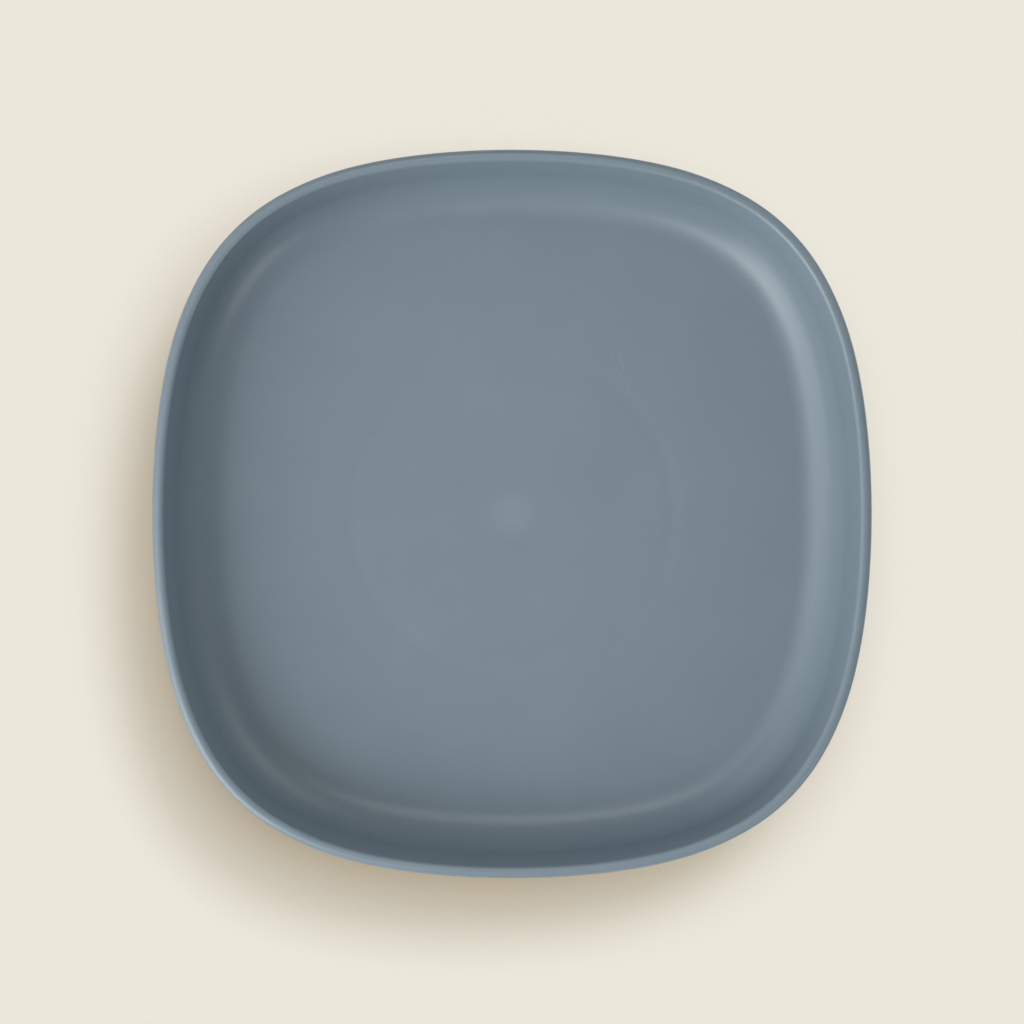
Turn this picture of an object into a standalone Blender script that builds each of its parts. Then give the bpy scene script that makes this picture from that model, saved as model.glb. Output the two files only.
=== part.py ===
"""Suction plate: a rounded-square moulded dish that plugs onto a silicone suction foot.

Units are metres, +Z is up, and the origin is on the table under the middle of the plate.
The foot is one soft moulding. It is split here where it flexes: the disc that grips the table,
the hub that the plate plugs onto, and the tab that peels the disc's lip to let the air in.
"""

import math

import bmesh
import bpy
from mathutils import Vector

# Plate seen from above. Its corners are smooth waves (count round the outline, height) that lift the
# tangent to the outline further from the middle the more it turns away from a side
PLATE_WIDTH = 0.1800
PLATE_LENGTH = 0.1822
CORNER_WAVES = ((4, 0.004295), (8, 0.000472), (12, 0.000125), (16, 0.000039))

# Plate in section
DISH_DEPTH = 0.0245
WALL = 0.0031
WALL_DRAFT = math.radians(8.5)
DISH_FILLET = 0.0115
RIM_OUTER_ROUND = 0.0016
RIM_INNER_ROUND = 0.0012

# Foot ring and plug stud moulded under the plate
RING_RADIUS = 0.0413
RING_WALL = 0.0024
RING_HEIGHT = 0.0070
RING_EDGE = 0.0006
ROOT_FILLET = 0.0008
STUD_RADIUS = 0.0050
STUD_ROOT_CHAMFER = 0.0002
STUD_TIP_CHAMFER = 0.0006
STUD_GROOVE_DEPTH = 0.00035
STUD_GROOVE_WIDTH = 0.0009
STUD_GROOVES = 2

# Suction foot
FOOT_RADIUS = 0.0460
SEAL_WIDTH = 0.0022
LIP_THICKNESS = 0.0013
LIP_EDGE = 0.0006
DISC_ROOT_THICKNESS = 0.0026
CHAMBER_HEIGHT = 0.0055
HUB_RADIUS = 0.0115
HUB_WEB = 0.0022
HUB_CHAMFER = 0.0006
SOCKET_DEPTH = 0.0063

# Release tab on the front of the foot
TAB_LENGTH = 0.0175
TAB_THICKNESS = 0.0013
TAB_RISE = 0.0002
TAB_ROOT_HALF_WIDTH = 0.0090
TAB_NECK_HALF_WIDTH = 0.0062
TAB_END_RADIUS = 0.0075
TAB_REST_TILT = math.radians(5)
TAB_EDGE_ROUND = 0.0003
GRIP_BARS = 3
GRIP_BAR_RADIUS = 0.0007
GRIP_BAR_PITCH = 0.0026
GRIP_BAR_LENGTH = 0.0093

# Gap between pieces that touch or plug together
FIT_GAP = 0.0003

# Facets
PLATE_SIDES = 80
DISC_SIDES = 64
HUB_SIDES = 48
FILLET_STEPS = 8
RIM_STEPS = 4
DOME_STEPS = 7
TAB_END_STEPS = 12
TAB_SIDE_STEPS = 4
GRIP_BAR_SIDES = 12
SHARP_ANGLE = math.radians(35)
MERGE_DISTANCE = 0.00001

# Heights above the table that follow from the sizes above
SOCKET_FLOOR = CHAMBER_HEIGHT + HUB_WEB
HUB_TOP = SOCKET_FLOOR + SOCKET_DEPTH
PLATE_SEAT = HUB_TOP + FIT_GAP
TAB_HINGE_HEIGHT = LIP_THICKNESS + TAB_RISE

# Finishes: base colour, roughness; the silicone is not seen in the photograph
PLATE_FINISH = ((0.185, 0.240, 0.275), 0.42)
SILICONE_FINISH = ((0.125, 0.165, 0.195), 0.60)


def clear_scene():
    for obj in list(bpy.data.objects):
        bpy.data.objects.remove(obj)


def new_collection(name):
    collection = bpy.data.collections.new(name)
    bpy.context.scene.collection.children.link(collection)
    return collection


def new_object(name, data, collection):
    obj = bpy.data.objects.new(name, data)
    collection.objects.link(obj)
    return obj


def give_finish(obj, finish):
    """Give the object a material of its own, with the colour and roughness of what it is moulded from."""
    colour, roughness = finish
    material = bpy.data.materials.new(obj.name)
    material.use_nodes = True
    shader = material.node_tree.nodes["Principled BSDF"]
    shader.inputs["Base Color"].default_value = (*colour, 1.0)
    shader.inputs["Roughness"].default_value = roughness
    shader.inputs["Metallic"].default_value = 0.0
    material.diffuse_color = (*colour, 1.0)
    obj.data.materials.append(material)


def mesh_from(name, builder):
    """Mesh of a finished bmesh, shaded smooth except over real edges."""
    mesh = bpy.data.meshes.new(name)
    builder.to_mesh(mesh)
    builder.free()
    mesh.shade_smooth()
    mesh.set_sharp_from_angle(angle=SHARP_ANGLE)
    return mesh


# The plate's outline

def outline_point(turn, inset):
    """Point of the rim's outline, moved inwards by inset, where its outward normal points at turn."""
    stretch = (PLATE_WIDTH - PLATE_LENGTH) / 4
    reach = (PLATE_WIDTH + PLATE_LENGTH) / 4 + stretch * math.cos(2 * turn) - inset
    slope = -2 * stretch * math.sin(2 * turn)
    for count, height in CORNER_WAVES:
        reach += height * (1 - math.cos(count * turn))
        slope += height * count * math.sin(count * turn)
    along, across = math.cos(turn), math.sin(turn)
    return reach * along - slope * across, reach * across + slope * along


def turns():
    """Directions in which the outline's corner points face."""
    return [math.tau * i / PLATE_SIDES for i in range(PLATE_SIDES)]


def rounded_square(inset, height):
    return [Vector((*outline_point(turn, inset), height)) for turn in turns()]


def circle(radius, height):
    return [Vector((radius * math.cos(t), radius * math.sin(t), height)) for t in turns()]


def arc(centre_inset, centre_height, radius, start, end, steps):
    """(inset, height) along an arc of the plate's section, with angles measured up from outwards."""
    for i in range(steps + 1):
        angle = start + (end - start) * i / steps
        yield centre_inset - radius * math.cos(angle), centre_height + radius * math.sin(angle)


# Plate

def dish_section():
    """(inset, height) of the plate's wall, from the dish floor over the rim to the underside."""
    down = -math.pi / 2
    up = math.pi / 2
    rim_height = WALL + DISH_DEPTH
    fillet_height = WALL + DISH_FILLET
    outer_fillet = DISH_FILLET + WALL
    cosine, sine = math.cos(WALL_DRAFT), math.sin(WALL_DRAFT)
    outer_height = rim_height - RIM_OUTER_ROUND
    inner_height = rim_height - RIM_INNER_ROUND
    outer_run = (outer_fillet - RIM_OUTER_ROUND + (outer_height - fillet_height) * sine) / cosine
    fillet_inset = RIM_OUTER_ROUND + outer_run
    inner_run = (DISH_FILLET + RIM_INNER_ROUND + (inner_height - fillet_height) * sine) / cosine
    inner_inset = fillet_inset - inner_run
    yield from arc(fillet_inset, fillet_height, DISH_FILLET, down, -WALL_DRAFT, FILLET_STEPS)
    yield from arc(inner_inset, inner_height, RIM_INNER_ROUND, math.pi - WALL_DRAFT, up, RIM_STEPS)
    yield from arc(RIM_OUTER_ROUND, outer_height, RIM_OUTER_ROUND, up, -WALL_DRAFT, RIM_STEPS)
    yield from arc(fillet_inset, fillet_height, outer_fillet, -WALL_DRAFT, down, FILLET_STEPS)


def ring_and_stud_section():
    """(radius, height) under the plate, from outside the foot ring to the tip of the stud."""
    outside = RING_RADIUS + RING_WALL / 2
    inside = RING_RADIUS - RING_WALL / 2
    yield outside + ROOT_FILLET, 0
    yield outside, -ROOT_FILLET
    yield outside, RING_EDGE - RING_HEIGHT
    yield outside - RING_EDGE, -RING_HEIGHT
    yield inside + RING_EDGE, -RING_HEIGHT
    yield inside, RING_EDGE - RING_HEIGHT
    yield inside, -ROOT_FILLET
    yield inside - ROOT_FILLET, 0
    yield STUD_RADIUS + STUD_ROOT_CHAMFER, 0
    yield STUD_RADIUS, -STUD_ROOT_CHAMFER
    pitch = SOCKET_DEPTH / (STUD_GROOVES + 1)
    for i in range(STUD_GROOVES):
        middle = -pitch * (i + 1)
        yield STUD_RADIUS, middle + STUD_GROOVE_WIDTH / 2
        yield STUD_RADIUS - STUD_GROOVE_DEPTH, middle + STUD_GROOVE_WIDTH / 4
        yield STUD_RADIUS - STUD_GROOVE_DEPTH, middle - STUD_GROOVE_WIDTH / 4
        yield STUD_RADIUS, middle - STUD_GROOVE_WIDTH / 2
    yield STUD_RADIUS, STUD_TIP_CHAMFER - SOCKET_DEPTH
    yield STUD_RADIUS - STUD_TIP_CHAMFER, -SOCKET_DEPTH


def loft(rings):
    """Closed skin through rings of points, with a fan over the first ring and over the last."""
    builder = bmesh.new()
    loops = [[builder.verts.new(point) for point in ring] for ring in rings]
    for upper, lower in zip(loops, loops[1:]):
        for i in range(len(upper)):
            builder.faces.new((upper[i - 1], lower[i - 1], lower[i], upper[i]))
    caps = [builder.faces.new(loops[0]), builder.faces.new(list(reversed(loops[-1])))]
    bmesh.ops.poke(builder, faces=caps)
    bmesh.ops.recalc_face_normals(builder, faces=builder.faces)
    return builder


def make_plate(collection, hub):
    """The dish, its foot ring and its stud in one moulding, with its origin where it seats on the hub."""
    rings = [rounded_square(inset, height) for inset, height in dish_section()]
    rings += [circle(radius, height) for radius, height in ring_and_stud_section()]
    plate = new_object("plate", mesh_from("plate", loft(rings)), collection)
    give_finish(plate, PLATE_FINISH)
    plate.parent = hub
    plate.location.z = PLATE_SEAT - HUB_TOP


# Suction foot

def turned(name, profile, sides, collection):
    """Solid of revolution from a closed profile of (radius, height), listed down its outer side."""
    builder = bmesh.new()
    corners = [builder.verts.new((radius, 0, height)) for radius, height in profile]
    on_axis = profile[0][0] == 0
    for first, second in zip(corners, corners[1:] if on_axis else corners[1:] + corners[:1]):
        builder.edges.new((first, second))
    mesh = bpy.data.meshes.new(name)
    builder.to_mesh(mesh)
    builder.free()
    obj = new_object(name, mesh, collection)
    give_finish(obj, SILICONE_FINISH)
    spin = obj.modifiers.new("turned", "SCREW")
    spin.axis = "Z"
    spin.angle = math.tau
    spin.steps = sides
    spin.render_steps = sides
    spin.use_merge_vertices = True
    spin.merge_threshold = MERGE_DISTANCE
    spin.use_smooth_shade = True
    return obj


def dome_height(radius):
    """Height of the disc's underside: flat beside the hub, falling to the table at the seal."""
    seal_inside = FOOT_RADIUS - LIP_EDGE - SEAL_WIDTH
    share = (radius - HUB_RADIUS) / (seal_inside - HUB_RADIUS)
    return CHAMBER_HEIGHT * (1 - share**2)


def disc_profile():
    """Section of the suction disc, thick beside the hub and thin at the lip."""
    bore = HUB_RADIUS + FIT_GAP
    seal_outside = FOOT_RADIUS - LIP_EDGE
    seal_inside = seal_outside - SEAL_WIDTH
    top, underside = [], []
    for i in range(DOME_STEPS + 1):
        share = i / DOME_STEPS
        radius = bore + (seal_inside - bore) * share
        thickness = DISC_ROOT_THICKNESS + (LIP_THICKNESS - DISC_ROOT_THICKNESS) * share
        underside.append((radius, dome_height(radius) if i < DOME_STEPS else 0.0))
        top.append((radius, dome_height(radius) + thickness))
    lip = [
        (seal_outside, LIP_THICKNESS),
        (FOOT_RADIUS, LIP_THICKNESS - LIP_EDGE),
        (FOOT_RADIUS, LIP_EDGE / 2),
        (seal_outside, 0.0),
    ]
    return top + lip + underside[::-1]


def hub_profile():
    """Section of the hub, a thick cup whose blind socket takes the plate's stud. Its origin is its top."""
    socket = STUD_RADIUS + FIT_GAP
    base = CHAMBER_HEIGHT - HUB_TOP
    return [
        (0, -SOCKET_DEPTH),
        (socket, -SOCKET_DEPTH),
        (socket, -HUB_CHAMFER),
        (socket + HUB_CHAMFER, 0),
        (HUB_RADIUS - HUB_CHAMFER, 0),
        (HUB_RADIUS, -HUB_CHAMFER),
        (HUB_RADIUS, base + HUB_CHAMFER),
        (HUB_RADIUS - HUB_CHAMFER, base),
        (0, base),
    ]


# Release tab

def tab_outline():
    """Corner points of the tab, from its root on the lip out along one side, round the end and back."""
    root_radius = FOOT_RADIUS + FIT_GAP
    root_turn = math.asin(TAB_ROOT_HALF_WIDTH / root_radius)
    end_centre = TAB_END_RADIUS - TAB_LENGTH
    side = []
    for i in range(TAB_SIDE_STEPS + 1):
        share = i / TAB_SIDE_STEPS
        root_y = FOOT_RADIUS - root_radius * math.cos(root_turn)
        flare = (TAB_ROOT_HALF_WIDTH - TAB_NECK_HALF_WIDTH) * (1 - share) ** 3
        swell = (TAB_END_RADIUS - TAB_NECK_HALF_WIDTH) * share**2
        side.append((TAB_NECK_HALF_WIDTH + flare + swell, root_y + (end_centre - root_y) * share))
    end = []
    for i in range(1, TAB_END_STEPS):
        angle = -math.pi * i / TAB_END_STEPS
        end.append((TAB_END_RADIUS * math.cos(angle), end_centre + TAB_END_RADIUS * math.sin(angle)))
    root = []
    for i in range(1, TAB_SIDE_STEPS * 2):
        angle = root_turn * (i / TAB_SIDE_STEPS - 1)
        root.append((root_radius * math.sin(angle), FOOT_RADIUS - root_radius * math.cos(angle)))
    return side + end + [(-x, y) for x, y in reversed(side)] + root


def flat_outline(name, points, thickness, edge_round, collection):
    """Mesh object of a flat outline with rounded edges, lying with its top at height 0."""
    curve = bpy.data.curves.new(name, "CURVE")
    curve.dimensions = "2D"
    curve.fill_mode = "BOTH"
    curve.extrude = thickness / 2 - edge_round
    curve.bevel_depth = edge_round
    curve.bevel_resolution = 1
    curve.offset = -edge_round
    spline = curve.splines.new("POLY")
    spline.points.add(len(points) - 1)
    for point, (x, y) in zip(spline.points, points):
        point.co = (x, y, 0, 1)
    spline.use_cyclic_u = True
    blank = new_object(name + "_outline", curve, collection)
    bpy.context.view_layer.update()
    graph = bpy.context.evaluated_depsgraph_get()
    mesh = bpy.data.meshes.new_from_object(blank.evaluated_get(graph))
    bpy.data.objects.remove(blank)
    builder = bmesh.new()
    builder.from_mesh(mesh)
    bpy.data.meshes.remove(mesh)
    bmesh.ops.remove_doubles(builder, verts=builder.verts, dist=MERGE_DISTANCE)
    bmesh.ops.translate(builder, verts=builder.verts, vec=(0, 0, -thickness / 2))
    bmesh.ops.recalc_face_normals(builder, faces=builder.faces)
    return new_object(name, mesh_from(name, builder), collection)


def make_grip_bar(index, tab, cutters):
    """Round bar across the tab, half sunk in its top, that is joined to the tab."""
    builder = bmesh.new()
    bmesh.ops.create_cone(
        builder,
        cap_ends=True,
        segments=GRIP_BAR_SIDES,
        radius1=GRIP_BAR_RADIUS,
        radius2=GRIP_BAR_RADIUS,
        depth=GRIP_BAR_LENGTH,
    )
    bar = new_object(f"grip_bar_{index}", mesh_from("grip_bar", builder), cutters)
    bar.parent = tab
    bar.rotation_euler.y = math.pi / 2
    first = TAB_END_RADIUS - TAB_LENGTH - GRIP_BAR_PITCH * (GRIP_BARS - 1) / 2
    bar.location.y = first + GRIP_BAR_PITCH * index
    bar.hide_render = True
    bar.display_type = "WIRE"
    joined = tab.modifiers.new(bar.name, "BOOLEAN")
    joined.operation = "UNION"
    joined.object = bar


def make_tab(collection, cutters, disc):
    """Pull tab whose origin is on its bending line, at the disc's front edge."""
    points = tab_outline()
    tab = flat_outline("release_tab", points, TAB_THICKNESS, TAB_EDGE_ROUND, collection)
    give_finish(tab, SILICONE_FINISH)
    tab.parent = disc
    tab.location = (0, -FOOT_RADIUS, TAB_HINGE_HEIGHT)
    tab.rotation_euler.x = -TAB_REST_TILT
    for index in range(GRIP_BARS):
        make_grip_bar(index, tab, cutters)


def main():
    clear_scene()
    pieces = new_collection("suction_plate")
    cutters = new_collection("joined_shapes")
    disc = turned("suction_disc", disc_profile(), DISC_SIDES, pieces)
    hub = turned("foot_hub", hub_profile(), HUB_SIDES, pieces)
    hub.parent = disc
    hub.location.z = HUB_TOP
    make_plate(pieces, hub)
    make_tab(pieces, cutters, disc)


main()
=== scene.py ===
import bmesh
import bpy
import math
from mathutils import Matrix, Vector


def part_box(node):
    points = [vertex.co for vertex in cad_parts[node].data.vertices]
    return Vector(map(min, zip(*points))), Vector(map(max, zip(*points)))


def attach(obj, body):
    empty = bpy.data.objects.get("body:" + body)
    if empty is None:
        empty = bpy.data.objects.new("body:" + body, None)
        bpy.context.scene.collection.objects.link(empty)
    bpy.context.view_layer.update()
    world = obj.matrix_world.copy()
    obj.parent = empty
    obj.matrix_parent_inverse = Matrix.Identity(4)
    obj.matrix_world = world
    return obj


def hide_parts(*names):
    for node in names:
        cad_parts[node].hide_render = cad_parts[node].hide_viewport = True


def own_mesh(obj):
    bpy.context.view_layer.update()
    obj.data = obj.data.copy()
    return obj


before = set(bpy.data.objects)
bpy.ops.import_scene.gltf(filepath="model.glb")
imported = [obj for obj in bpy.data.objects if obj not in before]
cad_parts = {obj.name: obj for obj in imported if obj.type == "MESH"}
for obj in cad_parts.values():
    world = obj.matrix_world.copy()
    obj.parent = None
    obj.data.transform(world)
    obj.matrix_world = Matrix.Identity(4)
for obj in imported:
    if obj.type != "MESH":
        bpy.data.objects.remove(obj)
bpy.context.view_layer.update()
scene = bpy.context.scene
scene.view_settings.view_transform = "Standard"

loopReach = 0.00002         # a point this near to a loop lies on it
mergeReach = 0.000001       # points nearer than this become one
downward = -0.9             # a face whose normal points further down than this looks down


# selecting and stepping

def leaveEdit():
    if bpy.context.mode != "OBJECT":
        bpy.ops.object.mode_set(mode="OBJECT")
    bpy.ops.object.select_all(action="DESELECT")


def workOn(piece):
    leaveEdit()
    piece.select_set(True)
    bpy.context.view_layer.objects.active = piece


def editAll(kind):
    bpy.ops.object.mode_set(mode="EDIT")
    bpy.ops.mesh.select_mode(type=kind)
    bpy.ops.mesh.select_all(action="SELECT")


def addCircle(name, points, radius, height, fill):
    leaveEdit()
    bpy.ops.mesh.primitive_circle_add(vertices=points, radius=radius, fill_type=fill, location=(0, 0, height))
    piece = bpy.context.object
    piece.name = name
    piece.data.name = name
    bpy.ops.object.transform_apply(location=True, rotation=True, scale=True)
    return piece


def pickUnderside(piece):
    bpy.ops.mesh.select_mode(type="FACE")
    bpy.ops.mesh.select_all(action="DESELECT")
    mesh = bmesh.from_edit_mesh(piece.data)
    for face in mesh.faces:
        face.select_set(face.normal.z < downward)
    bmesh.update_edit_mesh(piece.data)


def pickLoop(piece, radius, height):
    bpy.ops.mesh.select_mode(type="EDGE")
    bpy.ops.mesh.select_all(action="DESELECT")
    mesh = bmesh.from_edit_mesh(piece.data)
    for edge in mesh.edges:
        offs = [max(abs(spot.co.xy.length - radius), abs(spot.co.z - height)) for spot in edge.verts]
        edge.select_set(max(offs) < loopReach)
    bmesh.update_edit_mesh(piece.data)


# steps the picked face parallel to its own outline, path is (inset, height)
def insetAlong(path, facing):
    for (insetNow, heightNow), (insetNext, heightNext) in zip(path, path[1:]):
        bpy.ops.mesh.inset(thickness=insetNext - insetNow, depth=(heightNext - heightNow) * facing)


# insets the picked flat face and makes its outline round, gives back the radius
def turnRound(piece, insets, facing):
    insetAlong([(0, 0)] + [(inset, 0) for inset in insets], facing)
    bpy.ops.transform.tosphere(value=1)
    mesh = bmesh.from_edit_mesh(piece.data)
    return max(spot.co.xy.length for spot in mesh.verts if spot.select)


# steps the picked round face or loop, path is (radius, height)
def extrudeAlong(path):
    for (radiusNow, heightNow), (radiusNext, heightNext) in zip(path, path[1:]):
        bpy.ops.mesh.extrude_region_move(TRANSFORM_OT_translate={"value": (0, 0, heightNext - heightNow)})
        share = radiusNext / radiusNow
        bpy.ops.transform.resize(value=(share, share, 1), center_override=(0, 0, 0))


def arcPath(centre, radius, start, end, steps):
    path = []
    for i in range(steps + 1):
        angle = math.radians(start + (end - start) * i / steps)
        path.append((centre[0] + radius * math.cos(angle), centre[1] + radius * math.sin(angle)))
    return path


def closeUp(piece, smoothAngle):
    bpy.ops.mesh.select_all(action="SELECT")
    bpy.ops.mesh.remove_doubles(threshold=mergeReach)
    bpy.ops.mesh.normals_make_consistent(inside=False)
    workOn(piece)
    bpy.ops.object.shade_smooth_by_angle(angle=math.radians(smoothAngle))


# plate: dish, rim, foot ring and stud in one moulding

plateLow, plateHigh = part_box("plate")
plateValues = {
    "around": 256,              # points round the outline
    # waves that lift the outline's corners: count round the outline, height
    "cornerWaves": ((4, 0.004295), (8, 0.000472), (12, 0.000125), (16, 0.000039)),
    "dishDepth": 0.0245,
    "wall": 0.0031,
    "draft": 8.5,               # lean of the wall in degrees
    "dishFillet": 0.0115,
    "rimOuterRound": 0.0016,
    "rimInnerRound": 0.0012,
    "partingLine": 0.00004,     # height of the band that the mould's halves leave
    "filletSteps": 16,
    "rimSteps": 8,
    "underRimSteps": 2,
    "floorInsets": (0.0004, 0.0090),    # steps on the flat before its outline turns round
    "ringRadius": 0.0413,
    "ringWall": 0.0024,
    "ringEdge": 0.0006,
    "ringMargin": 0.0004,       # flat strip round the ring's root
    "rootFillet": 0.0008,
    "rootSteps": 5,
    "edgeSteps": 4,
    "studRadius": 0.0050,
    "studLength": 0.0063,
    "studEdge": 0.0006,
    "studMargin": 0.0006,
    "studEnd": 0.0005,          # radius of the last face on the stud's tip
    "grooves": 2,
    "grooveDepth": 0.00035,
    "grooveHalfWidths": (0.00045, 0.0002),      # at a groove's mouth and bed
    "sinkDepth": 0.00009,       # dip that the ring below leaves in the dish floor
    "sinkHalfWidth": 0.0034,
    "sinkSteps": 12,
    "dipDepth": 0.00003,        # dip over the stud
    "dipReach": (0.0070, 0.0020),       # radii at which it starts and is deepest
    "dipSteps": 10,
    "dipEnd": 0.0006,           # radius of its last face
    "smoothAngle": 40,
}


# point of the outline whose outward normal points at turn
def outlineSpot(turn):
    mean, stretch = (plateHigh.x + plateHigh.y) / 2, (plateHigh.x - plateHigh.y) / 2
    reach = mean + stretch * math.cos(2 * turn)
    slope = -2 * stretch * math.sin(2 * turn)
    for count, height in plateValues["cornerWaves"]:
        reach += height * (1 - math.cos(count * turn))
        slope += height * count * math.sin(count * turn)
    along, across = math.cos(turn), math.sin(turn)
    return reach * along - slope * across, reach * across + slope * along


# the marks of ring and stud in the dish floor, as (radius, height)
def sinkMarks(dishFloor):
    v = plateValues
    path = []
    for i in range(v["sinkSteps"] + 1):
        share = i / v["sinkSteps"]
        drop = v["sinkDepth"] * math.sin(math.pi * share) ** 2
        path.append((v["ringRadius"] + v["sinkHalfWidth"] * (1 - 2 * share), dishFloor - drop))
    start, deepest = v["dipReach"]
    for i in range(v["dipSteps"] + 1):
        share = i / v["dipSteps"]
        drop = v["dipDepth"] * math.sin(math.pi / 2 * share) ** 2
        path.append((start + (deepest - start) * share, dishFloor - drop))
    return path + [(v["dipEnd"], dishFloor - v["dipDepth"])]


# foot ring and stud under the plate, as (radius, height)
def ringAndStud(underside):
    v = plateValues
    outside, inside = v["ringRadius"] + v["ringWall"] / 2, v["ringRadius"] - v["ringWall"] / 2
    root, edge, bottom = v["rootFillet"], v["ringEdge"], plateLow.z
    path = [(outside + root + v["ringMargin"], underside)]
    path += arcPath((outside + root, underside - root), root, 90, 180, v["rootSteps"])
    path += arcPath((outside - edge, bottom + edge), edge, 0, -90, v["edgeSteps"])
    path += arcPath((inside + edge, bottom + edge), edge, -90, -180, v["edgeSteps"])
    path += arcPath((inside - root, underside - root), root, 0, 90, v["rootSteps"])
    stud, edge, tip = v["studRadius"], v["studEdge"], underside - v["studLength"]
    path += [(stud + root + v["studMargin"], underside)]
    path += arcPath((stud + root, underside - root), root, 90, 180, v["edgeSteps"])
    deep = stud - v["grooveDepth"]
    mouth, bed = v["grooveHalfWidths"]
    for i in range(1, v["grooves"] + 1):
        middle = underside - v["studLength"] * i / (v["grooves"] + 1)
        path += [(stud, middle + mouth), (deep, middle + bed)]
        path += [(deep, middle - bed), (stud, middle - mouth)]
    path += arcPath((stud - edge, tip + edge), edge, 0, -90, v["edgeSteps"])
    return path + [(v["studEnd"], tip)]


def makePlateBody():
    v = plateValues
    rimTop = plateHigh.z
    dishFloor = rimTop - v["dishDepth"]
    underside = dishFloor - v["wall"]
    lean, wallTurn = math.radians(v["draft"]), 180 + v["draft"]
    cosine, sine = math.cos(lean), math.sin(lean)
    outer, inner, fillet = v["rimOuterRound"], v["rimInnerRound"], v["dishFillet"]
    filletHeight = dishFloor + fillet
    outerRun = (fillet + v["wall"] - outer + (rimTop - outer - filletHeight) * sine) / cosine
    filletInset = outer + outerRun
    innerRun = (fillet + inner + (rimTop - inner - filletHeight) * sine) / cosine
    # section of the wall as (inset, height); insets grow inwards, so the arcs are mirrored
    overRim = arcPath((outer, rimTop - outer), outer, 180, 90, v["rimSteps"])
    intoDish = arcPath((filletInset - innerRun, rimTop - inner), inner, 90, v["draft"], v["rimSteps"])
    toFloor = arcPath((filletInset, filletHeight), fillet, wallTurn, 270, v["filletSteps"])
    underRim = arcPath((outer, rimTop - outer), outer, 180, wallTurn, v["underRimSteps"])
    toUnderside = arcPath((filletInset, filletHeight), fillet + v["wall"], wallTurn, 270, v["filletSteps"])

    # the widest outline first, as a thin band at the mould's parting line
    bandFoot = rimTop - outer - v["partingLine"]
    plate = addCircle("plateBody", v["around"], plateHigh.x, bandFoot, "NGON")
    for spot in plate.data.vertices:
        spot.co.x, spot.co.y = outlineSpot(math.atan2(spot.co.y, spot.co.x))
    editAll("FACE")
    bpy.ops.mesh.extrude_region_move(TRANSFORM_OT_translate={"value": (0, 0, v["partingLine"])})

    # over the rim and down to the dish floor
    insetAlong(overRim + intoDish[1:] + toFloor, 1)
    roundNow = turnRound(plate, v["floorInsets"], 1)
    extrudeAlong([(roundNow, dishFloor)] + sinkMarks(dishFloor))

    # down the outside to the underside
    pickUnderside(plate)
    insetAlong([(0, bandFoot)] + underRim[1:] + toUnderside, -1)
    roundNow = turnRound(plate, v["floorInsets"], -1)
    extrudeAlong([(roundNow, underside)] + ringAndStud(underside))
    closeUp(plate, v["smoothAngle"])
    return plate


plateBody = makePlateBody()
print("plate", len(plateBody.data.polygons), "faces")


# suction foot: hub, disc and tab

hubLow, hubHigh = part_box("foot_hub")
hubValues = {
    "around": 96,
    "radius": 0.0115,
    "edge": 0.0006,
    "edgeSteps": 4,
    "socketRadius": 0.0053,
    "socketDepth": 0.0063,
    "socketFillet": 0.0004,
    "filletSteps": 3,
    "ribs": 2,                  # ribs in the socket that click into the stud's grooves
    "ribRise": 0.0002,
    "ribHalfWidths": (0.0005, 0.0002),          # at a rib's foot and crest
    "topGroove": 0.00025,
    "grooveHalfWidths": (0.0007, 0.0004),       # at its mouth and bed
    "endRadius": 0.0004,        # of the faces that close socket and base
    "smoothAngle": 35,
}


def makeFootHub():
    v = hubValues
    socket, top, base, edge = v["socketRadius"], hubHigh.z, hubLow.z, v["edge"]
    fillet, steps = v["socketFillet"], v["edgeSteps"]
    socketFloor = top - v["socketDepth"]
    path = [(v["endRadius"], socketFloor)]
    path += arcPath((socket - fillet, socketFloor + fillet), fillet, -90, 0, v["filletSteps"])
    rib = socket - v["ribRise"]
    foot, crest = v["ribHalfWidths"]
    for i in range(v["ribs"], 0, -1):
        middle = top - v["socketDepth"] * i / (v["ribs"] + 1)
        path += [(socket, middle - foot), (rib, middle - crest)]
        path += [(rib, middle + crest), (socket, middle + foot)]
    path += arcPath((socket + edge, top - edge), edge, 180, 90, steps)
    middle, deep = (socket + v["radius"]) / 2, top - v["topGroove"]
    mouth, bed = v["grooveHalfWidths"]
    path += [(middle - mouth, top), (middle - bed, deep), (middle + bed, deep), (middle + mouth, top)]
    path += arcPath((v["radius"] - edge, top - edge), edge, 90, 0, steps)
    path += arcPath((v["radius"] - edge, base + edge), edge, 0, -90, steps)
    path += [(v["endRadius"], base)]
    hub = addCircle("footHub", v["around"], *path[0], "NOTHING")
    editAll("EDGE")
    extrudeAlong(path)
    bpy.ops.mesh.edge_face_add()
    pickLoop(hub, *path[0])
    bpy.ops.mesh.edge_face_add()
    closeUp(hub, v["smoothAngle"])
    return hub


discLow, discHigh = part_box("suction_disc")
discValues = {
    "around": 128,
    "chamber": 0.0055,          # height of the dome's underside beside the hub
    "hubOverlap": 0.0001,
    "hubMargin": 0.0004,        # plain strip under the dome beside the hub
    "rootThickness": 0.0026,
    "rootFillet": 0.0014,       # blends the dome into the hub
    "filletSteps": 6,
    "domeSteps": 28,
    "underSteps": 96,
    "lipThickness": 0.0013,
    "lipEdge": 0.0006,
    "lipSteps": 6,
    "sealWidth": 0.0022,
    "sealEdge": 0.0003,
    "sealEdgeSteps": 3,
    "sealStep": 0.00004,        # rise at the seal's inner edge
    "ribs": (0.019, 0.025, 0.031, 0.037),
    "ribHalfWidth": 0.0007,
    "ribDrop": 0.00035,
    "beadRise": 0.0003,
    "beadSteps": 6,
    "smoothAngle": 45,
}


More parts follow.
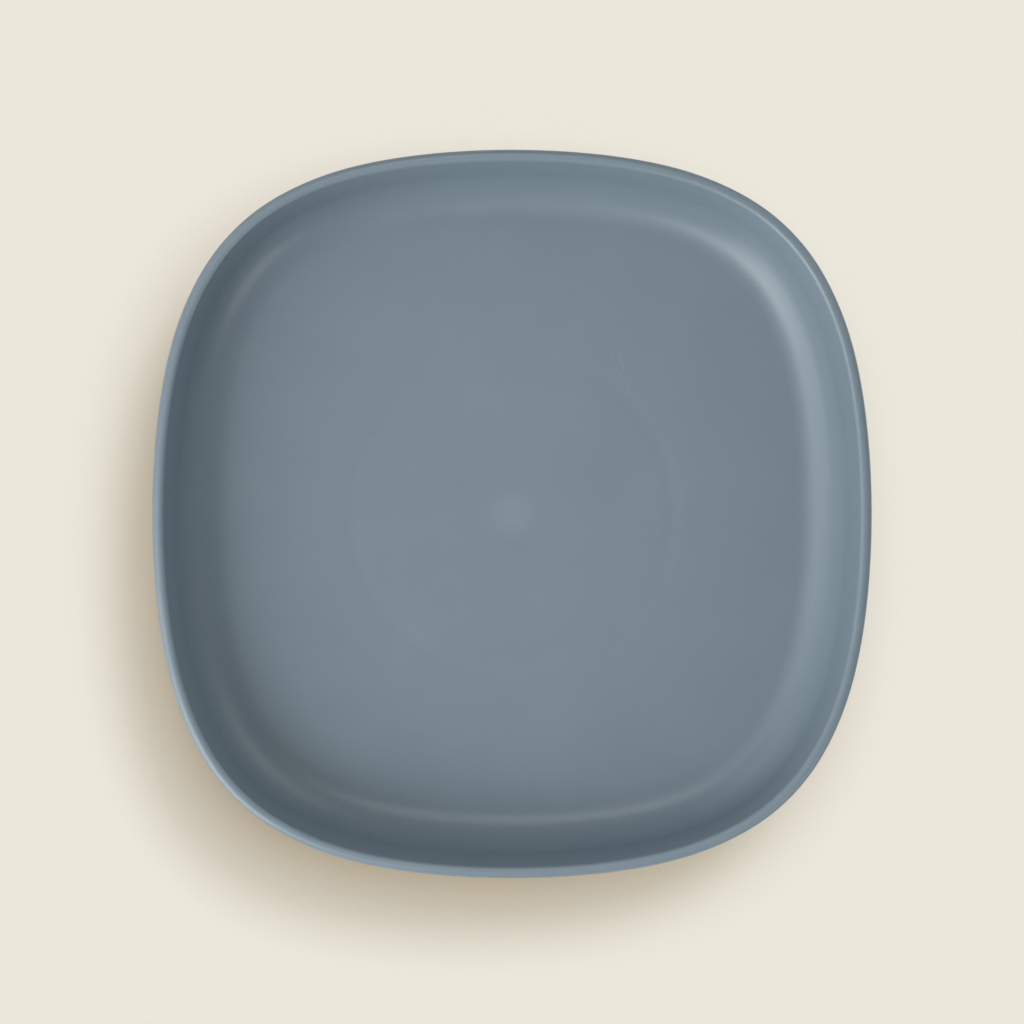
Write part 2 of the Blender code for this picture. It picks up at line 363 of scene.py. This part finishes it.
def makeSuctionDisc():
    v = discValues
    hub, lip = hubValues["radius"], discHigh.x
    bore = hub - v["hubOverlap"]
    sealOutside = lip - v["lipEdge"]
    sealInside = sealOutside - v["sealWidth"]

    def domeUnder(radius):
        share = max(0, radius - hub) / (sealInside - hub)
        return v["chamber"] * (1 - share ** 2)

    def domeTop(radius):
        share = (radius - bore) / (sealInside - bore)
        return domeUnder(radius) + v["rootThickness"] + (v["lipThickness"] - v["rootThickness"]) * share

    def ribDepth(radius):
        near = min(abs(radius - rib) for rib in v["ribs"])
        if near > v["ribHalfWidth"]:
            return 0
        return v["ribDrop"] * math.cos(near / v["ribHalfWidth"] * math.pi / 2)

    # over the dome to the lip
    fillet = v["rootFillet"]
    path = [(bore, domeTop(bore + fillet) + fillet)]
    for i in range(1, v["filletSteps"] + 1):
        turn = math.radians(90 * i / v["filletSteps"])
        radius = bore + fillet * (1 - math.cos(turn))
        path.append((radius, domeTop(radius) + fillet * (1 - math.sin(turn))))
    for i in range(1, v["domeSteps"] + 1):
        radius = bore + fillet + (sealInside - bore - fillet) * i / v["domeSteps"]
        path.append((radius, domeTop(radius)))
    for i in range(1, v["beadSteps"] + 1):
        share = i / v["beadSteps"]
        path.append((sealInside + v["sealWidth"] * share,
                     v["lipThickness"] + v["beadRise"] * math.sin(math.pi * share)))
    path += arcPath((sealOutside, v["lipThickness"] - v["lipEdge"]), v["lipEdge"], 90, 0, v["lipSteps"])[1:]
    # back under it
    edge = v["sealEdge"]
    path += arcPath((lip - edge, edge), edge, 0, -90, v["sealEdgeSteps"])
    path += [(sealInside + edge, 0), (sealInside, v["sealStep"])]
    for i in range(1, v["underSteps"] + 1):
        radius = sealInside + (hub + v["hubMargin"] - sealInside) * i / v["underSteps"]
        path.append((radius, domeUnder(radius) - ribDepth(radius)))
    path += [(bore, domeUnder(bore)), path[0]]
    disc = addCircle("suctionDisc", v["around"], *path[0], "NOTHING")
    editAll("EDGE")
    extrudeAlong(path)
    closeUp(disc, v["smoothAngle"])
    return disc


tabValues = {
    "length": 0.0175,
    "thickness": 0.0013,
    "rise": 0.0002,
    "rootHalfWidth": 0.0090,
    "neckHalfWidth": 0.0062,
    "endRadius": 0.0075,
    "sideSteps": 16,
    "endSteps": 32,
    "rootSteps": 24,
    "restTilt": 5.0,
    "edgeRound": 0.0004,
    "edgeSteps": 5,
    "gripBars": 3,
    "barRadius": 0.0007,
    "barLength": 0.0093,
    "barPitch": 0.0026,
    "barPoints": 24,
    "barRound": 0.000595,
    "barRoundSteps": 5,
    "gap": 0.0001,
    "smoothAngle": 35,
}


def tabOutline():
    v = tabValues
    lip = discHigh.x
    rootRadius = lip + v["gap"]
    rootTurn = math.asin(v["rootHalfWidth"] / rootRadius)
    rootSide = lip - rootRadius * math.cos(rootTurn)
    endCentre = v["endRadius"] - v["length"]
    side = []
    for i in range(v["sideSteps"] + 1):
        share = i / v["sideSteps"]
        flare = (v["rootHalfWidth"] - v["neckHalfWidth"]) * (1 - share) ** 3
        swell = (v["endRadius"] - v["neckHalfWidth"]) * share ** 2
        side.append((v["neckHalfWidth"] + flare + swell, rootSide + (endCentre - rootSide) * share))
    end = arcPath((0, endCentre), v["endRadius"], 0, -180, v["endSteps"])[1:-1]
    root = []
    for i in range(1, v["rootSteps"]):
        turn = rootTurn * (2 * i / v["rootSteps"] - 1)
        root.append((rootRadius * math.sin(turn), lip - rootRadius * math.cos(turn)))
    outline = side + end + [(-x, y) for x, y in reversed(side)] + root
    return outline[::-1]


# a bar across the tab for a fingertip
def addGripBar(tab, along):
    v = tabValues
    leaveEdit()
    bpy.ops.mesh.primitive_cylinder_add(vertices=v["barPoints"], radius=v["barRadius"], depth=v["barLength"],
                                        location=(0, along, 0), rotation=(0, math.pi / 2, 0))
    bar = bpy.context.object
    bpy.ops.object.transform_apply(location=True, rotation=True, scale=True)
    rounding = bar.modifiers.new("roundEnds", "BEVEL")
    rounding.width = v["barRound"]
    rounding.segments = v["barRoundSteps"]
    bpy.ops.object.modifier_apply(modifier="roundEnds")
    workOn(tab)
    joining = tab.modifiers.new("gripBar", "BOOLEAN")
    joining.operation = "UNION"
    joining.object = bar
    bpy.ops.object.modifier_apply(modifier="gripBar")
    bpy.data.objects.remove(bar)


def makeReleaseTab():
    v = tabValues
    outline = tabOutline()
    thick, edge, steps = v["thickness"], v["edgeRound"], v["edgeSteps"]
    tab = addCircle("releaseTab", len(outline), v["endRadius"], edge - thick, "NGON")
    for i, spot in enumerate(tab.data.vertices):
        spot.co.x, spot.co.y = outline[i]
    editAll("FACE")
    bpy.ops.mesh.extrude_region_move(TRANSFORM_OT_translate={"value": (0, 0, thick - 2 * edge)})
    insetAlong(arcPath((edge, -edge), edge, 180, 90, steps), 1)
    pickUnderside(tab)
    insetAlong(arcPath((edge, edge - thick), edge, 180, 270, steps), -1)
    first = v["endRadius"] - v["length"] - v["barPitch"] * (v["gripBars"] - 1) / 2
    for i in range(v["gripBars"]):
        addGripBar(tab, first + v["barPitch"] * i)
    workOn(tab)
    tab.location = (0, -discHigh.x, discValues["lipThickness"] + v["rise"])
    tab.rotation_euler.x = -math.radians(v["restTilt"])
    bpy.ops.object.transform_apply(location=True, rotation=True, scale=True)
    editAll("FACE")
    closeUp(tab, v["smoothAngle"])
    return tab


footHub = makeFootHub()
suctionDisc = makeSuctionDisc()
releaseTab = makeReleaseTab()
print("foot", [len(piece.data.polygons) for piece in (footHub, suctionDisc, releaseTab)], "faces")


# finishes

def addNode(tree, kind, settings=None, **sockets):
    node = tree.nodes.new(kind)
    for key, value in (settings or {}).items():
        setattr(node, key, value)
    for key, value in sockets.items():
        node.inputs[key.replace("_", " ")].default_value = value
    return node


def newGroup(name, inputs, outputs):
    group = bpy.data.node_groups.new(name, "ShaderNodeTree")
    for label, kind in inputs:
        group.interface.new_socket(label, in_out="INPUT", socket_type="NodeSocket" + kind)
    for label, kind in outputs:
        group.interface.new_socket(label, in_out="OUTPUT", socket_type="NodeSocket" + kind)
    return group, group.nodes.new("NodeGroupInput"), group.nodes.new("NodeGroupOutput")


def placeGroup(tree, group, **sockets):
    return addNode(tree, "ShaderNodeGroup", {"node_tree": group}, **sockets)


def mathNode(tree, operation, first, second=None):
    node = addNode(tree, "ShaderNodeMath", {"operation": operation})
    for socket, value in zip(node.inputs, (first, second)):
        if isinstance(value, (int, float)):
            socket.default_value = value
        elif value is not None:
            tree.links.new(value, socket)
    return node.outputs[0]


def rangeNode(tree, value, fromLow, fromHigh, toLow, toHigh, smooth=False):
    node = addNode(tree, "ShaderNodeMapRange", {"interpolation_type": "SMOOTHSTEP" if smooth else "LINEAR"})
    tree.links.new(value, node.inputs["Value"])
    limits = {"From Min": fromLow, "From Max": fromHigh, "To Min": toLow, "To Max": toHigh}
    for label, amount in limits.items():
        node.inputs[label].default_value = amount
    return node.outputs[0]


def mixColours(tree, share, first, second):
    node = addNode(tree, "ShaderNodeMix", {"data_type": "RGBA"})
    for socket, value in zip((node.inputs[0], node.inputs[6], node.inputs[7]), (share, first, second)):
        if isinstance(value, tuple):
            socket.default_value = (*value, 1)
        else:
            tree.links.new(value, socket)
    return node.outputs[2]


skinValues = {
    "cloudRange": (0.3, 0.7),
    "fleckRange": (0.74, 0.80),     # share of the noise that shows as flecks
    "fleckScale": 0.31,             # of the skin's scale
}


# cloudy colour, fine skin and single flecks of a moulded surface
def makeMouldedSkin():
    v = skinValues
    group, given, out = newGroup(
        "mouldedSkin",
        [("Vector", "Vector"), ("Cloud Scale", "Float"), ("Skin Scale", "Float")],
        [("Clouds", "Float"), ("Skin", "Float"), ("Flecks", "Float")])
    clouds = addNode(group, "ShaderNodeTexNoise", Detail=4.0, Roughness=0.6)
    skin = addNode(group, "ShaderNodeTexNoise", Detail=2.0, Roughness=0.5)
    flecks = addNode(group, "ShaderNodeTexNoise", Detail=0.0)
    fleckScale = mathNode(group, "MULTIPLY", given.outputs["Skin Scale"], v["fleckScale"])
    for node in (clouds, skin, flecks):
        group.links.new(given.outputs["Vector"], node.inputs["Vector"])
    group.links.new(given.outputs["Cloud Scale"], clouds.inputs["Scale"])
    group.links.new(given.outputs["Skin Scale"], skin.inputs["Scale"])
    group.links.new(fleckScale, flecks.inputs["Scale"])
    group.links.new(rangeNode(group, clouds.outputs[0], *v["cloudRange"], 0, 1), out.inputs["Clouds"])
    group.links.new(skin.outputs[0], out.inputs["Skin"])
    group.links.new(rangeNode(group, flecks.outputs[0], *v["fleckRange"], 0, 1), out.inputs["Flecks"])
    return group


scuffValues = {
    "bend": 9.0,                    # sideways per length squared
    "endFade": (0.25, 0.5),         # shares of the length between which the ends fade
    "heightFade": (0.0006, 0.0012),
    "dashScale": 900.0,
    "dashRange": (0.35, 0.6),
    "faintest": 0.2,
}


# one hairline scuff, bent a little along its length
def makeHairScuff():
    v = scuffValues
    group, given, out = newGroup(
        "hairScuff",
        [("Vector", "Vector"), ("Middle", "Vector"),
         ("Turn", "Float"), ("Length", "Float"), ("Width", "Float")],
        [("Mask", "Float")])
    moved = addNode(group, "ShaderNodeVectorMath", {"operation": "SUBTRACT"})
    group.links.new(given.outputs["Vector"], moved.inputs[0])
    group.links.new(given.outputs["Middle"], moved.inputs[1])
    turned = addNode(group, "ShaderNodeVectorRotate", {"rotation_type": "Z_AXIS"})
    group.links.new(moved.outputs[0], turned.inputs["Vector"])
    group.links.new(given.outputs["Turn"], turned.inputs["Angle"])
    split = addNode(group, "ShaderNodeSeparateXYZ")
    group.links.new(turned.outputs[0], split.inputs[0])
    along, aside = split.outputs["X"], split.outputs["Y"]
    bend = mathNode(group, "MULTIPLY", mathNode(group, "MULTIPLY", along, along), v["bend"])
    off = mathNode(group, "ABSOLUTE", mathNode(group, "SUBTRACT", aside, bend))
    across = mathNode(group, "SUBTRACT", 1, mathNode(group, "DIVIDE", off, given.outputs["Width"]))
    reach = mathNode(group, "DIVIDE", mathNode(group, "ABSOLUTE", along), given.outputs["Length"])
    ends = rangeNode(group, reach, *v["endFade"], 1, 0, True)
    onFloor = rangeNode(group, mathNode(group, "ABSOLUTE", split.outputs["Z"]), *v["heightFade"], 1, 0)
    broken = addNode(group, "ShaderNodeTexNoise", Scale=v["dashScale"], Detail=1.0)
    group.links.new(given.outputs["Vector"], broken.inputs["Vector"])
    dashes = rangeNode(group, broken.outputs[0], *v["dashRange"], v["faintest"], 1)
    mask = mathNode(group, "MULTIPLY", mathNode(group, "MAXIMUM", across, 0), ends)
    mask = mathNode(group, "MULTIPLY", mathNode(group, "MULTIPLY", mask, onFloor), dashes)
    group.links.new(mask, out.inputs["Mask"])
    return group


mouldedSkin = makeMouldedSkin()
hairScuff = makeHairScuff()


# a material with the moulded skin's colour, roughness and fine bump; its colour is linked by the caller
def startFinish(name, v):
    finish = bpy.data.materials.new(name)
    finish.use_nodes = True
    tree = finish.node_tree
    shader = tree.nodes["Principled BSDF"]
    place = addNode(tree, "ShaderNodeTexCoord").outputs["Object"]
    skin = placeGroup(tree, mouldedSkin, Cloud_Scale=v["cloudScale"], Skin_Scale=v["skinScale"])
    tree.links.new(place, skin.inputs["Vector"])
    colour = mixColours(tree, skin.outputs["Clouds"], v["colour"], v["cloudColour"])
    low, high = v["roughness"] - v["roughnessSpread"], v["roughness"] + v["roughnessSpread"]
    tree.links.new(rangeNode(tree, skin.outputs["Clouds"], 0, 1, low, high), shader.inputs["Roughness"])
    bump = addNode(tree, "ShaderNodeBump", Strength=v["skinStrength"], Distance=v["skinHeight"])
    tree.links.new(skin.outputs["Skin"], bump.inputs["Height"])
    tree.links.new(bump.outputs[0], shader.inputs["Normal"])
    return finish, tree, shader, place, skin, colour


satinValues = {
    "colour": (0.1753, 0.230, 0.2714),
    "cloudColour": (0.1832, 0.238, 0.2785),
    "spotColour": (0.199, 0.257, 0.300),
    "spotReach": (0.0014, 0.0080),           # radii between which the paler spot over the stud fades
    "scuffColour": (0.33, 0.37, 0.40),
    "scuffStrength": 0.35,
    "cloudScale": 55.0,
    "skinScale": 3200.0,
    "roughness": 0.33,
    "roughnessSpread": 0.025,
    "skinHeight": 0.000010,
    "skinStrength": 0.6,
    # scuffs on the dish floor: x, y, turn in degrees, length, width
    "scuffs": ((0.0281, 0.0384, 68, 0.0069, 0.00030), (0.0262, 0.0391, 70, 0.0109, 0.00018),
               (0.0299, 0.0319, 77, 0.0061, 0.00018)),
}


def makeSatinPlastic():
    v = satinValues
    finish, tree, shader, place, skin, colour = startFinish("satinPlastic", v)
    # paler spot over the stud
    flat = addNode(tree, "ShaderNodeVectorMath", {"operation": "MULTIPLY"})
    flat.inputs[1].default_value = (1, 1, 0)
    tree.links.new(place, flat.inputs[0])
    fromAxis = addNode(tree, "ShaderNodeVectorMath", {"operation": "LENGTH"})
    tree.links.new(flat.outputs[0], fromAxis.inputs[0])
    spot = rangeNode(tree, fromAxis.outputs["Value"], *v["spotReach"], 1, 0, True)
    colour = mixColours(tree, spot, colour, v["spotColour"])
    dishFloor = plateHigh.z - plateValues["dishDepth"]
    scuffed = None
    for x, y, turn, length, width in v["scuffs"]:
        scuff = placeGroup(tree, hairScuff, Middle=(x, y, dishFloor), Turn=math.radians(turn), Length=length,
                           Width=width)
        tree.links.new(place, scuff.inputs["Vector"])
        mask = scuff.outputs["Mask"]
        scuffed = mask if scuffed is None else mathNode(tree, "MAXIMUM", scuffed, mask)
    scuffed = mathNode(tree, "MULTIPLY", scuffed, v["scuffStrength"])
    tree.links.new(mixColours(tree, scuffed, colour, v["scuffColour"]), shader.inputs["Base Color"])
    return finish


siliconeValues = {
    "colour": (0.118, 0.156, 0.185),
    "cloudColour": (0.132, 0.172, 0.203),
    "fleckColour": (0.21, 0.24, 0.27),
    "fleckStrength": 0.4,
    "cloudScale": 140.0,
    "skinScale": 5200.0,
    "roughness": 0.58,
    "roughnessSpread": 0.06,
    "skinHeight": 0.000018,
    "skinStrength": 0.7,
    "sheen": 0.12,
    "sheenRoughness": 0.5,
}


def makeMattSilicone():
    v = siliconeValues
    finish, tree, shader, place, skin, colour = startFinish("mattSilicone", v)
    dust = mathNode(tree, "MULTIPLY", skin.outputs["Flecks"], v["fleckStrength"])
    tree.links.new(mixColours(tree, dust, colour, v["fleckColour"]), shader.inputs["Base Color"])
    shader.inputs["Sheen Weight"].default_value = v["sheen"]
    shader.inputs["Sheen Roughness"].default_value = v["sheenRoughness"]
    return finish


satinPlastic = makeSatinPlastic()
mattSilicone = makeMattSilicone()
for piece, body, slot, finish in (
        (plateBody, "plate", "plate", satinPlastic),
        (footHub, "foot_hub", "silicone", mattSilicone),
        (suctionDisc, "suction_disc", "silicone", mattSilicone),
        (releaseTab, "release_tab", "silicone", mattSilicone)):
    piece.data.materials.clear()
    piece.data.materials.append(finish)
    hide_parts(body)
    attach(piece, body)
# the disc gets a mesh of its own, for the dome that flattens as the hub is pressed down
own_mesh(suctionDisc)
print("finishes on, pieces ride on their bodies")


# floor, lamps and camera

stageValues = {
    "paperColour": (0.194, 0.210, 0.215),    # part of the floor's tone that the lamps make, with the shadow
    "glowColour": (0.2851, 0.2057, 0.1018),  # part that the camera sees evenly
    "backColour": (0.831, 0.799, 0.708),
    "paperRoughness": 0.9,
    "floorRadius": 2.6,
    "floorPoints": 96,
    "backRise": (28, 34),                    # degrees up to which the backdrop stands round the floor
    "litRadius": 0.30,                       # lamps light the floor up to here
    "fadeRadius": 0.80,                      # and from here on it shows the backdrop's colour
    "ambient": 0.233,
}


def makeFloor():
    v = stageValues
    floor = addCircle("paleFloor", v["floorPoints"], v["floorRadius"], 0, "NGON")
    finish = bpy.data.materials.new("palePaper")
    finish.use_nodes = True
    tree = finish.node_tree
    shader = tree.nodes["Principled BSDF"]
    shader.inputs["Base Color"].default_value = (*v["paperColour"], 1)
    shader.inputs["Roughness"].default_value = v["paperRoughness"]
    shader.inputs["Specular IOR Level"].default_value = 0.0
    # the glow is seen by the camera and in reflections, and lights nothing
    ray = addNode(tree, "ShaderNodeLightPath")
    seen = mathNode(tree, "MAXIMUM", ray.outputs["Is Camera Ray"], ray.outputs["Is Glossy Ray"])
    nearGlow = addNode(tree, "ShaderNodeEmission", Color=(*v["glowColour"], 1))
    farGlow = addNode(tree, "ShaderNodeEmission", Color=(*v["backColour"], 1))
    tree.links.new(seen, nearGlow.inputs["Strength"])
    tree.links.new(seen, farGlow.inputs["Strength"])
    near = addNode(tree, "ShaderNodeAddShader")
    tree.links.new(shader.outputs[0], near.inputs[0])
    tree.links.new(nearGlow.outputs[0], near.inputs[1])
    place = addNode(tree, "ShaderNodeTexCoord").outputs["Object"]
    away = addNode(tree, "ShaderNodeVectorMath", {"operation": "LENGTH"})
    tree.links.new(place, away.inputs[0])
    far = rangeNode(tree, away.outputs["Value"], v["litRadius"], v["fadeRadius"], 0, 1, True)
    mix = addNode(tree, "ShaderNodeMixShader")
    tree.links.new(far, mix.inputs[0])
    tree.links.new(near.outputs[0], mix.inputs[1])
    tree.links.new(farGlow.outputs[0], mix.inputs[2])
    tree.links.new(mix.outputs[0], tree.nodes["Material Output"].inputs["Surface"])
    floor.data.materials.append(finish)
    return floor


paleFloor = makeFloor()
floorOnly = bpy.data.collections.new("floorOnly")
floorOnly.objects.link(paleFloor)
plateOnly = bpy.data.collections.new("plateOnly")
for piece in (plateBody, footHub, suctionDisc, releaseTab):
    plateOnly.objects.link(piece)

# turn is counted from +X, rise above the floor, both in degrees
lampValues = (
    {"name": "lowerWindow", "turn": 220, "rise": 30, "size": 0.6, "tall": 1.4, "power": 9.43,
     "on": plateOnly},
    {"name": "leftWindow", "turn": 195, "rise": 30, "size": 0.6, "tall": 1.4, "power": 5.64, "on": plateOnly},
    {"name": "frontSoftbox", "turn": 240, "rise": 48, "size": 0.6, "power": 2.46, "on": plateOnly},
    {"name": "highSoftbox", "turn": 210, "rise": 58, "size": 0.6, "power": 1.97, "on": plateOnly},
    {"name": "wideFill", "turn": 45, "rise": 20, "size": 1.2, "power": 3.90, "on": plateOnly},
    {"name": "rightFill", "turn": 320, "rise": 22, "size": 0.8, "power": 2.74, "on": plateOnly},
    {"name": "backSoftbox", "turn": 95, "rise": 62, "size": 0.5, "power": 1.78, "on": plateOnly},
    {"name": "topFill", "turn": 180, "rise": 70, "size": 0.8, "power": 0.65, "on": plateOnly},
    {"name": "backFill", "turn": 135, "rise": 25, "size": 0.8, "power": 1.15, "on": plateOnly},
    {"name": "floorSun", "turn": 55, "rise": 59, "spread": 17, "power": 1.90, "on": floorOnly},
    {"name": "floorHaze", "turn": 53, "rise": 75, "spread": 50, "power": 6.80, "on": floorOnly},
)
lampDistance = 1.3


def makeLamp(v):
    lamp = bpy.data.lights.new(v["name"], "SUN" if "spread" in v else "AREA")
    if "spread" in v:
        lamp.angle = math.radians(v["spread"])
    else:
        lamp.shape = "RECTANGLE" if "tall" in v else "DISK"
        lamp.size = v["size"]
        lamp.size_y = v.get("tall", v["size"])
    lamp.energy = v["power"]
    holder = bpy.data.objects.new(v["name"], lamp)
    scene.collection.objects.link(holder)
    turn, rise = math.radians(v["turn"]), math.radians(v["rise"])
    aim = Vector((math.cos(turn) * math.cos(rise), math.sin(turn) * math.cos(rise), math.sin(rise)))
    holder.location = aim * lampDistance
    holder.rotation_euler = (-aim).to_track_quat("-Z", "Y").to_euler()
    holder.visible_camera = False
    holder.light_linking.receiver_collection = v["on"]


for values in lampValues:
    makeLamp(values)


# even light all round, and a backdrop that only the camera sees
def makeRoom(v):
    room = bpy.data.worlds.new("softRoom")
    room.use_nodes = True
    tree = room.node_tree
    sky = tree.nodes["Background"]
    sky.inputs["Color"].default_value = (1, 1, 1, 1)
    sky.inputs["Strength"].default_value = v["ambient"]
    backdrop = addNode(tree, "ShaderNodeBackground", Color=(*v["backColour"], 1))
    aim = addNode(tree, "ShaderNodeTexCoord").outputs["Generated"]
    parts = addNode(tree, "ShaderNodeSeparateXYZ")
    tree.links.new(aim, parts.inputs[0])
    low, high = (math.sin(math.radians(rise)) for rise in v["backRise"])
    below = rangeNode(tree, parts.outputs["Z"], low, high, 1, 0, True)
    camera = addNode(tree, "ShaderNodeLightPath").outputs["Is Camera Ray"]
    mix = addNode(tree, "ShaderNodeMixShader")
    tree.links.new(mathNode(tree, "MULTIPLY", below, camera), mix.inputs[0])
    tree.links.new(sky.outputs[0], mix.inputs[1])
    tree.links.new(backdrop.outputs[0], mix.inputs[2])
    tree.links.new(mix.outputs[0], tree.nodes["World Output"].inputs["Surface"])
    scene.world = room


makeRoom(stageValues)

# above is counted from the rim, width is what is seen at the height of the rim
cameraValues = {"x": 0.00003, "y": 0.00050, "above": 1.0, "width": 0.2556, "sensor": 36}
lens = bpy.data.cameras.new("topCamera")
lens.sensor_width = cameraValues["sensor"]
lens.lens = cameraValues["sensor"] * cameraValues["above"] / cameraValues["width"]
topCamera = bpy.data.objects.new("topCamera", lens)
topCamera.location = (cameraValues["x"], cameraValues["y"], plateHigh.z + cameraValues["above"])
scene.collection.objects.link(topCamera)
scene.camera = topCamera
print("floor, lamps and camera set")
